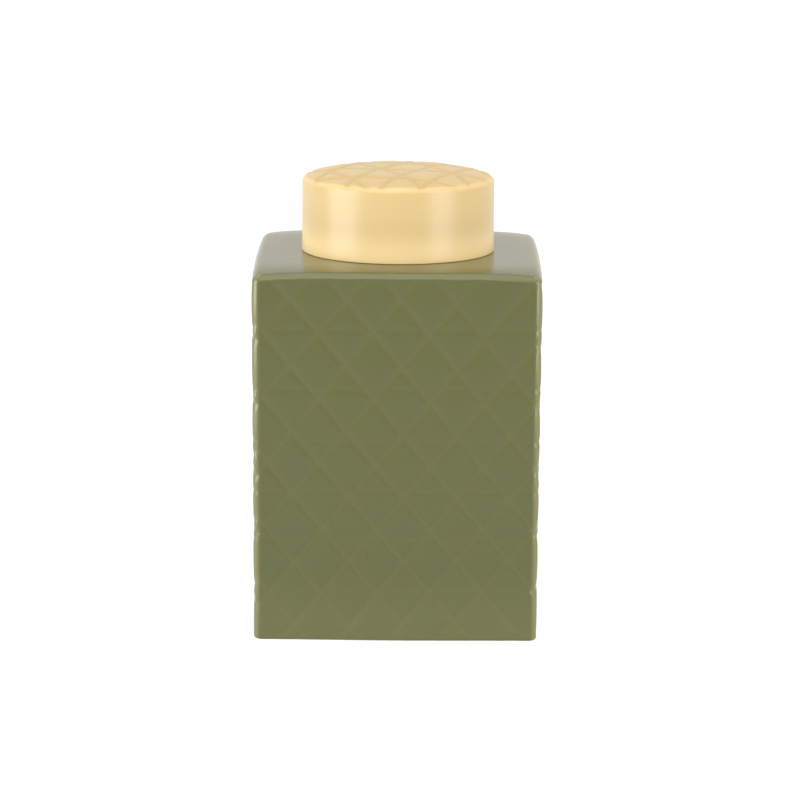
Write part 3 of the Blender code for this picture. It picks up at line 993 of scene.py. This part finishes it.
        # Painted light: the lid's side is lighter towards its lower rim, most at the rim itself.
        on_rim = bell(places[:, 2] - self.bottom, self.rim_painted_light_reach) * (out > self.radius - self.wall / 2)
        drop, inset = self.level - places[:, 2], self.radius - out
        # Over the top edge: thin glaze and a painted highlight.
        on_edge = bell(drop - inset, self.edge_round) * (drop < self.edge_thin_and_painted_light_reach * self.edge_round)
        on_edge = self.edge_thin_and_painted_light * on_edge * (inset < self.edge_round)
        return np.clip(np.maximum(on_rim, on_edge), 0.0, 1.0)


@dataclass
class SealBand:
    """The soft ring that sits in the neck's groove and takes up the lid's play."""

    lip: float = 0.0008
    rib_share: float = 1 / 6  # of the band's height
    crest_share: float = 0.75  # of a rib, from the band's edge to its crest
    thickness: float = 0.0018
    round: float = 0.00035
    edge_segments: int = 3
    rib_segments: int = 4
    turn_steps: int = 128
    smooth_angle: float = math.radians(50)

    def build(self) -> bpy.types.Object:
        """Models the band.

        Returns:
            The finished object.
        """
        low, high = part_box("seal_band")
        outer = high.x - INSIDE
        inner = outer - self.thickness
        rib = (high.z - low.z) * self.rib_share
        waist = outer - self.lip
        crest = self.crest_share * rib
        ribs = [
            Corner(out, height, self.round, self.rib_segments)
            for out, height in (
                (outer, high.z - crest),
                (waist, high.z - 2 * rib),
                (waist, low.z + 2 * rib),
                (outer, low.z + crest),
            )
        ]
        corners = [
            Corner(inner, high.z, self.round, self.edge_segments),
            Corner(outer - self.lip / 2, high.z, self.round / 2, self.edge_segments),
            *ribs,
            Corner(outer - self.lip / 2, low.z, self.round / 2, self.edge_segments),
            Corner(inner, low.z, self.round, self.edge_segments),
            Corner(inner, high.z - 2 * self.round),
        ]
        return Workpiece.turned("band", corners, self.turn_steps).finish(self.smooth_angle)


def is_upright(edge: bmesh.types.BMEdge) -> bool:
    """Whether an edge runs up the piece."""
    first, last = edge.verts
    return abs(first.co.z - last.co.z) > math.hypot(first.co.x - last.co.x, first.co.y - last.co.y)


def is_rim(edge: bmesh.types.BMEdge, height: float) -> bool:
    """Whether an edge lies level at a height, between a level face and a side."""
    level = all(abs(vert.co.z - height) < MERGE for vert in edge.verts)
    return level and any(abs(face.normal.z) < STEEP for face in edge.link_faces)


def keep_weights(obj: bpy.types.Object, *names: str) -> None:
    """Turns vertex groups into attributes that a material can read, and drops every group.

    Args:
        obj: The piece's object.
        names: The groups that are kept.
    """
    kept = {obj.vertex_groups[name].index: name for name in names}
    values = {name: np.zeros(len(obj.data.vertices), np.float32) for name in names}
    for vert in obj.data.vertices:
        for entry in vert.groups:
            if entry.group in kept:
                values[kept[entry.group]][vert.index] = entry.weight
    obj.vertex_groups.clear()
    for name, numbers in values.items():
        obj.data.attributes.new(name, "FLOAT", "POINT").data.foreach_set("value", numbers)


class Socket:
    """A shader socket that takes part in expressions, each of which adds its Math nodes."""

    def __init__(self, recipe: "Recipe", socket: bpy.types.NodeSocket) -> None:
        """Wraps a socket of a recipe's node tree."""
        self.recipe = recipe
        self.socket = socket

    def combine(self, operation: str, first: "Socket | float", second: "Socket | float") -> "Socket":
        """Adds one Math node.

        Args:
            operation: The node's operation.
            first: Its first value.
            second: Its second value.

        Returns:
            The result's socket.
        """
        return self.recipe.node("ShaderNodeMath", {"operation": operation}, {0: first, 1: second})

    def __add__(self, other: "Socket | float") -> "Socket":
        """self + other."""
        return self.combine("ADD", self, other)

    def __radd__(self, other: float) -> "Socket":
        """other + self."""
        return self.combine("ADD", other, self)

    def __sub__(self, other: "Socket | float") -> "Socket":
        """self - other."""
        return self.combine("SUBTRACT", self, other)

    def __rsub__(self, other: float) -> "Socket":
        """other - self."""
        return self.combine("SUBTRACT", other, self)

    def __mul__(self, other: "Socket | float") -> "Socket":
        """self * other."""
        return self.combine("MULTIPLY", self, other)

    def __rmul__(self, other: float) -> "Socket":
        """other * self."""
        return self.combine("MULTIPLY", other, self)


class Recipe:
    """A material's node tree, from its texture coordinates to its Principled shader."""

    def __init__(self, name: str) -> None:
        """Starts a material with a bare Principled shader.

        Args:
            name: The material's name.
        """
        self.material = bpy.data.materials.new(name)
        self.material.use_nodes = True
        self.tree = self.material.node_tree
        self.shader = self.tree.nodes["Principled BSDF"]
        self.coordinates = self.node("ShaderNodeTexCoord", {}, {}, "Object")

    def node(
        self,
        kind: str,
        settings: dict[str, object],
        inputs: dict[str | int, object],
        output: str | int = 0,
    ) -> Socket:
        """Adds a node.

        Args:
            kind: The node's type.
            settings: Its settings, which are set first.
            inputs: A value, a colour or a Socket for each input socket.
            output: Which output is wanted.

        Returns:
            That output's socket.
        """
        node = self.tree.nodes.new(kind)
        for name, value in settings.items():
            setattr(node, name, value)
        for name, value in inputs.items():
            if isinstance(value, Socket):
                self.tree.links.new(value.socket, node.inputs[name])
            else:
                node.inputs[name].default_value = value
        return Socket(self, node.outputs[output])

    def noise(self, size: float, detail: float, roughness: float = 0.5) -> Socket:
        """Adds a noise.

        Args:
            size: How large its features are, in metres.
            detail: How many finer layers it has.
            roughness: How much each finer layer counts.

        Returns:
            A value about 0.5.
        """
        inputs = {
            "Vector": self.coordinates,
            "Scale": 1.0 / size,
            "Detail": detail,
            "Roughness": roughness,
        }
        return self.node("ShaderNodeTexNoise", {}, inputs, "Fac")

    def spread(self, value: Socket, low: float, high: float) -> Socket:
        """Stretches the range from low to high over 0 to 1, with a smooth rise."""
        inputs = {"Value": value, "From Min": low, "From Max": high}
        return self.node("ShaderNodeMapRange", {"interpolation_type": "SMOOTHSTEP"}, inputs)

    def mix(self, share: Socket, first: object, second: object) -> Socket:
        """Blends two colours by a share."""
        inputs = {0: share, 6: first, 7: second}
        return self.node("ShaderNodeMix", {"data_type": "RGBA"}, inputs, 2)

    def attribute(self, name: str) -> Socket:
        """A value that the piece's points carry."""
        return self.node("ShaderNodeAttribute", {"attribute_name": name}, {}, "Fac")

    def height(self) -> Socket:
        """How high a place lies."""
        return self.node("ShaderNodeSeparateXYZ", {}, {0: self.coordinates}, "Z")

    def bump(self, height: Socket, distance: float) -> Socket:
        """A normal that follows a small height."""
        return self.node("ShaderNodeBump", {}, {"Height": height, "Distance": distance})

    def feed(self, **inputs: object) -> bpy.types.Material:
        """Sets or links the shader's inputs.

        Args:
            inputs: A value or a Socket for each, named with _ for a space.

        Returns:
            The material.
        """
        for name, value in inputs.items():
            socket = self.shader.inputs[name.replace("_", " ")]
            if isinstance(value, Socket):
                self.tree.links.new(value.socket, socket)
            else:
                socket.default_value = value
        return self.material


def opaque(colour: Sequence[float], gain: float = 1.0) -> tuple[float, float, float, float]:
    """A linear colour, made lighter or darker, with full alpha."""
    return (colour[0] * gain, colour[1] * gain, colour[2] * gain, 1.0)


@dataclass(frozen=True)
class Glaze:
    """A satin glaze over pale clay. It is lighter over the rounds, rims and foot, partly thin glaze and
    partly painted light. In the grooves it is tinted: a painted sheen on the jar, darker and deeper in
    colour on the lid.
    """

    name: str
    colour: tuple[float, float, float]
    cool: tuple[float, float, float]  # where the glaze lies thick
    groove_tint_and_sheen: tuple[float, float, float]  # in the grooves: lighter on the jar, as a painted sheen; darker and deeper in colour on the lid
    thin_glaze_and_painted_light: tuple[float, float, float]  # lighter, over the rounds, the rims and the foot: partly thin glaze where the clay shows through, partly painted highlight and painted light
    roughness: float
    roughness_spread: float = 0.06
    groove_tint_and_sheen_share: float = 0.7
    thin_glaze_and_painted_light_share: float = 0.7
    clay: tuple[float, float, float] = (0.62, 0.53, 0.42)
    clay_roughness: float = 0.85
    bare_height: float = 0.0  # up to which the clay is bare
    bare_wander: float = 0.0004
    bare_blur: float = 0.0001
    cloud_size: float = 0.030
    cloud_range: tuple[float, float] = (0.35, 0.65)
    cloud_share: float = 0.6
    streak_size: float = 0.006
    streak_share: float = 0.4
    peel_size: float = 0.0035
    peel_depth: float = 0.00003
    pit_size: float = 0.0007
    pit_depth: float = 0.1  # as a share of the peel's
    pit_roughness: float = 0.02

    def material(self) -> bpy.types.Material:
        """Mixes the glaze's material.

        Returns:
            The material.
        """
        recipe = Recipe(self.name)
        clouds = recipe.spread(recipe.noise(self.cloud_size, 3.0), *self.cloud_range)
        streaks = recipe.noise(self.streak_size, 4.0, 0.6)
        pits = recipe.noise(self.pit_size, 2.0)
        peel = recipe.noise(self.peel_size, 2.0)
        thick = clouds * self.cloud_share + streaks * self.streak_share
        colour = recipe.mix(thick, opaque(self.colour), opaque(self.cool))
        # Groove colour, mixed in by the grooves' depth: a painted sheen on the jar, a darker tint on the
        # lid.
        groove_tint_and_sheen = recipe.attribute("relief") * self.groove_tint_and_sheen_share
        # Painted highlight and painted light, together with thin glaze on the edges: lighter where the
        # weight is high.
        thin_glaze_and_painted_light = recipe.attribute("thin_glaze_and_painted_light") * self.thin_glaze_and_painted_light_share
        colour = recipe.mix(groove_tint_and_sheen, colour, opaque(self.groove_tint_and_sheen))
        colour = recipe.mix(thin_glaze_and_painted_light, colour, opaque(self.thin_glaze_and_painted_light))
        bare = self.bare_mask(recipe, streaks)
        colour = recipe.mix(bare, colour, opaque(self.clay))
        least = self.roughness - self.roughness_spread / 2
        satin = least + self.roughness_spread * streaks + self.pit_roughness * pits
        return recipe.feed(
            Base_Color=colour,
            Roughness=satin + bare * (self.clay_roughness - self.roughness),
            Normal=recipe.bump(peel + self.pit_depth * pits, self.peel_depth),
        )

    def bare_mask(self, recipe: Recipe, wander: Socket) -> Socket:
        """1 where the clay is bare, under an edge that wanders a little."""
        line = recipe.height() - (wander - 0.5) * self.bare_wander
        low, high = self.bare_height - self.bare_blur, self.bare_height + self.bare_blur
        return 1.0 - recipe.spread(line, low, high)


@dataclass(frozen=True)
class Silicone:
    """Milky soft rubber."""

    name: str
    colour: tuple[float, float, float]
    roughness: float = 0.42
    roughness_spread: float = 0.12
    dust_size: float = 0.0025
    dust_range: tuple[float, float] = (0.4, 0.75)
    dust_shade: float = 0.86
    grain_size: float = 0.0004
    grain_depth: float = 0.00001
    milk: float = 0.35  # how much of the light is scattered inside
    milk_reach: tuple[float, float, float] = (0.002, 0.002, 0.0018)

    def material(self) -> bpy.types.Material:
        """Mixes the rubber's material.

        Returns:
            The material.
        """
        recipe = Recipe(self.name)
        dust = recipe.noise(self.dust_size, 4.0, 0.6)
        dusty = opaque(self.colour, self.dust_shade)
        colour = recipe.mix(recipe.spread(dust, *self.dust_range), opaque(self.colour), dusty)
        grain = recipe.noise(self.grain_size, 2.0)
        return recipe.feed(
            Base_Color=colour,
            Roughness=self.roughness - self.roughness_spread / 2 + self.roughness_spread * dust,
            Normal=recipe.bump(grain, self.grain_depth),
            Subsurface_Weight=self.milk,
            Subsurface_Radius=self.milk_reach,
        )


GREEN_GLAZE = Glaze(
    name="green_glaze",
    colour=(0.068, 0.071, 0.016),
    cool=(0.063, 0.072, 0.018),
    # Lighter than the glaze's colour: a painted sheen along the grooves.
    groove_tint_and_sheen=(0.079, 0.082, 0.022),
    thin_glaze_and_painted_light=(0.160, 0.158, 0.062),
    roughness=0.18,
    thin_glaze_and_painted_light_share=0.8,
    bare_height=0.0003,
)
YELLOW_GLAZE = Glaze(
    name="yellow_glaze",
    colour=(0.452, 0.331, 0.140),
    cool=(0.442, 0.329, 0.148),
    groove_tint_and_sheen=(0.395, 0.262, 0.080),
    thin_glaze_and_painted_light=(0.740, 0.565, 0.280),
    roughness=0.30,
)
CLEAR_SILICONE = Silicone(name="clear_silicone", colour=(0.72, 0.72, 0.69))


def add_lamp(name: str, size: tuple[float, float], brightness: float) -> bpy.types.Object:
    """Adds a lamp with an even rectangular face.

    Args:
        name: The lamp's name.
        size: The width and the height of its face.
        brightness: The radiance of its face.

    Returns:
        The lamp, at the origin and aimed down.
    """
    data = bpy.data.lights.new(name, "AREA")
    data.shape = "RECTANGLE"
    data.size, data.size_y = size
    data.energy = brightness * math.pi * size[0] * size[1]
    lamp = bpy.data.objects.new(name, data)
    lamp.visible_camera = False
    bpy.context.scene.collection.objects.link(lamp)
    return lamp


@dataclass(frozen=True)
class Overhead:
    """A square lamp that hangs level above the jar."""

    name: str
    height: float
    width: float
    brightness: float  # radiance of its face

    def place(self) -> None:
        """Hangs the lamp up."""
        lamp = add_lamp(self.name, (self.width, self.width), self.brightness)
        lamp.location = (0.0, 0.0, self.height)


@dataclass(frozen=True)
class Softbox:
    """A lamp with a wide even face, turned to the jar."""

    name: str
    azimuth: float  # degrees round the jar from the camera's side, positive to the right
    distance: float
    width: float
    low: float  # height of its lower edge
    high: float  # height of its upper edge
    brightness: float  # radiance of its face

    def place(self) -> None:
        """Stands the lamp up, turned to the jar."""
        lamp = add_lamp(self.name, (self.width, self.high - self.low), self.brightness)
        angle = math.radians(self.azimuth)
        middle = (self.low + self.high) / 2
        lamp.location = (self.distance * math.sin(angle), -self.distance * math.cos(angle), middle)
        lamp.rotation_euler = (math.pi / 2, 0.0, angle)


@dataclass
class Studio:
    """The pale floor, the soft light and the camera."""

    camera_place: tuple[float, float, float] = (0.00585, -1.4928, 0.3928)
    camera_tilt: float = 0.20026  # radians below the horizon
    camera_yaw: float = 0.00307  # radians to the left
    camera_roll: float = 0.00634  # radians
    focal_pixels: float = 3587.8
    floor_size: float = 30.0
    floor_colour: tuple[float, float, float] = (0.36, 0.36, 0.36)
    floor_shade: float = 0.99  # of the paper's darker grain
    floor_grain: float = 0.05
    floor_roughness: float = 0.9
    floor_gloss: float = 0.1
    floor_glow: float = 0.70  # light that the floor gives off itself
    sky: float = 0.97
    sky_colour: tuple[float, float, float] = (1.0, 0.96, 0.91)
    softboxes: tuple[Softbox, ...] = (
        Softbox("left_softbox", -67.0, 0.70, 0.48, 0.00, 0.52, 5.3),
        Softbox("right_softbox", 52.0, 0.70, 0.36, 0.00, 0.70, 4.2),
        Softbox("front_softbox", -10.0, 1.40, 1.30, 0.80, 2.50, 1.9),
    )
    overhead: Overhead = Overhead("overhead_softbox", 1.30, 1.40, 1.1)

    def build(self) -> None:
        """Sets the scene up."""
        bpy.context.scene.view_settings.view_transform = "Standard"
        self.lay_floor()
        self.light()
        self.set_camera()

    def lay_floor(self) -> None:
        """Lays a wide pale floor with a soft grain, which gives off some light of its own."""
        bpy.ops.object.select_all(action="DESELECT")
        bpy.ops.mesh.primitive_plane_add(size=self.floor_size)
        floor = bpy.context.object
        floor.name = "floor"
        recipe = Recipe("floor_paper")
        grain = recipe.noise(self.floor_grain, 3.0)
        darker = opaque(self.floor_colour, self.floor_shade)
        colour = recipe.mix(grain, opaque(self.floor_colour), darker)
        floor.data.materials.append(
            recipe.feed(
                Base_Color=colour,
                Roughness=self.floor_roughness,
                Specular_IOR_Level=self.floor_gloss,
                Emission_Color=(1.0, 1.0, 1.0, 1.0),
                Emission_Strength=self.floor_glow,
            )
        )

    def light(self) -> None:
        """Sets up an even, slightly warm surround and the lamps."""
        world = bpy.data.worlds.new("surround")
        world.use_nodes = True
        background = world.node_tree.nodes["Background"]
        background.inputs["Color"].default_value = opaque(self.sky_colour)
        background.inputs["Strength"].default_value = self.sky
        bpy.context.scene.world = world
        for lamp in (*self.softboxes, self.overhead):
            lamp.place()

    def set_camera(self) -> None:
        """Sets the camera up at the photograph's place, with its long lens."""
        data = bpy.data.cameras.new("camera")
        data.lens = self.focal_pixels * data.sensor_width / PHOTO_WIDTH
        camera = bpy.data.objects.new("camera", data)
        yaw = Matrix.Rotation(self.camera_yaw, 4, "Z")
        tilt = Matrix.Rotation(math.pi / 2 - self.camera_tilt, 4, "X")
        roll = Matrix.Rotation(self.camera_roll, 4, "Z")
        camera.matrix_world = Matrix.Translation(self.camera_place) @ yaw @ tilt @ roll
        bpy.context.scene.collection.objects.link(camera)
        bpy.context.scene.camera = camera


def dress(obj: bpy.types.Object, finish: Glaze | Silicone, node: str, body: str) -> None:
    """Gives a piece its finish, and its place in the frame.

    Args:
        obj: The finished piece.
        finish: What its surface is made of, named for the record's slot.
        node: The node that it stands for.
        body: The body that it rides on.
    """
    obj.data.materials.clear()
    obj.data.materials.append(finish.material())
    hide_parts(node)
    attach(obj, body)
    LOG.info("%s: %d faces on body %s", obj.name, len(obj.data.polygons), body)


def main() -> None:
    """Builds the jar, dresses it and sets up the studio."""
    logging.basicConfig(level=logging.INFO, format="%(name)s %(message)s")
    dress(JarBody().build(), GREEN_GLAZE, "jar_body", "jar")
    dress(SealBand().build(), CLEAR_SILICONE, "seal_band", "jar")
    dress(CapLid().build(), YELLOW_GLAZE, "lid", "cap")
    Studio().build()


if __name__ == "__main__":
    main()
